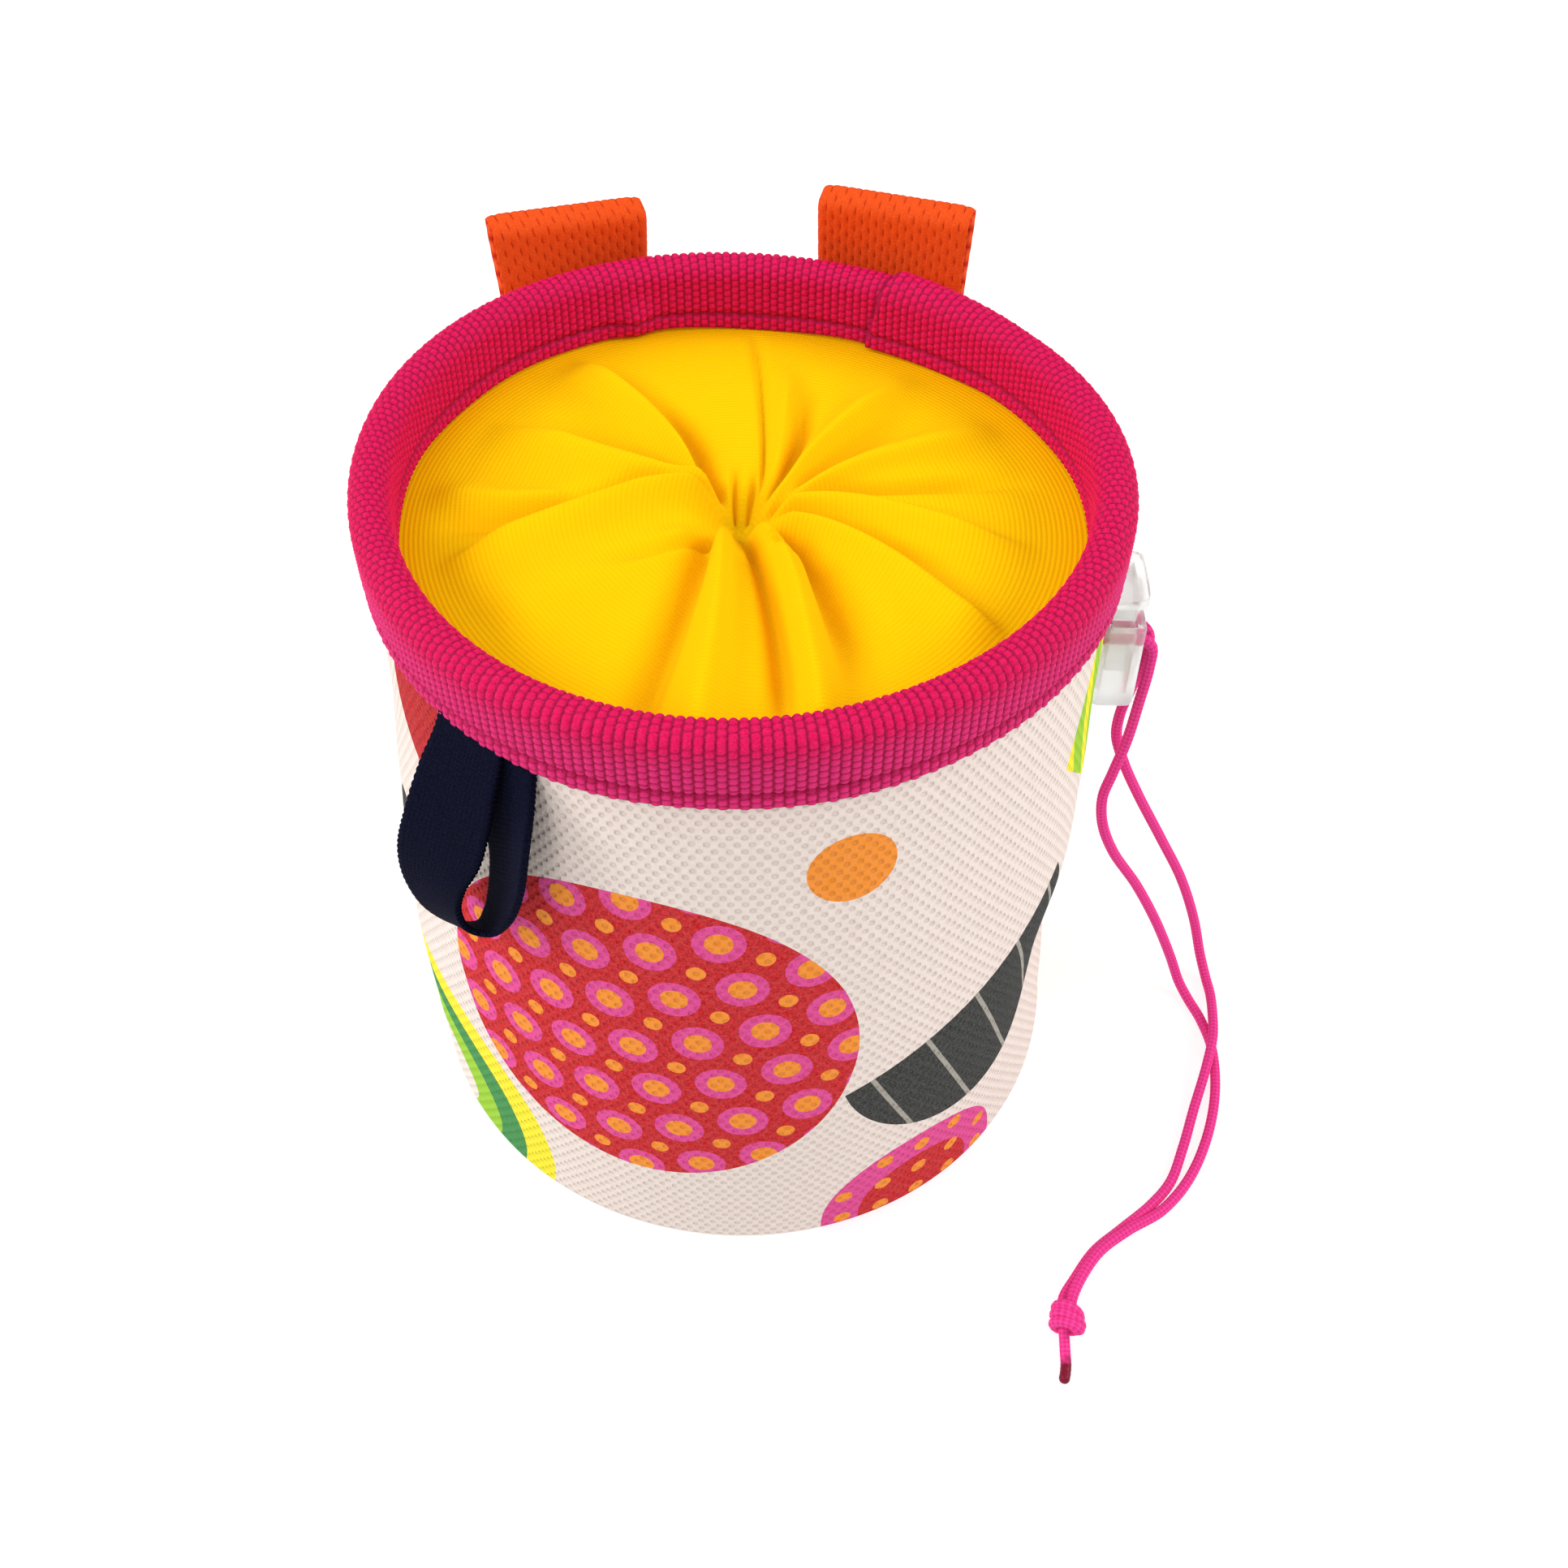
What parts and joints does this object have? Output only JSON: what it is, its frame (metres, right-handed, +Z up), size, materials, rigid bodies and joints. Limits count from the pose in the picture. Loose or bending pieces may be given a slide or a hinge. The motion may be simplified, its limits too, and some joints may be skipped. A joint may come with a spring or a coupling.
{
  "type": "chalk bag",
  "caption": "Round climbing chalk bag: stiff printed canvas tube with bound rim, knit collar drawn shut by a drawcord with a cord lock, belt loops and an elastic brush loop.",
  "frame": {"origin": "centre of the base panel, on the surface that the bag stands on", "axes": "+Z up through the mouth, -Y to the front, +X to the cord lock, belt loops at +Y"},
  "size_m": [0.1546, 0.1487, 0.1423],
  "materials": {
    "canvas": "off-white woven canvas with a printed pattern",
    "binding": "hot pink ribbed webbing",
    "knit": "yellow stretch knit",
    "webbing": "orange coarse webbing",
    "elastic": "dark navy elastic",
    "cord": "pink braided cord",
    "clear_plastic": "clear frosted moulded plastic"
  },
  "bodies": {
    "bag": {"body_wall": "canvas", "base_panel": "canvas", "rim_binding": "binding", "collar": "knit", "belt_loop_left": "webbing", "belt_loop_right": "webbing", "brush_loop": "elastic", "cord_lock_barrel": "clear_plastic", "drawcord_inside": "cord", "drawcord_strand_1": "cord", "drawcord_strand_2": "cord", "drawcord_knot": "cord"},
    "plunger": {"cord_lock_plunger": "clear_plastic"}
  },
  "joints": [
    {"name": "plunger_press", "type": "slide", "parent": "bag", "child": "plunger", "axis": [0, 0, -1], "range_m": [0, 0.004], "stiffness_N_per_m": 400, "springref_m": -0.002}
  ]
}
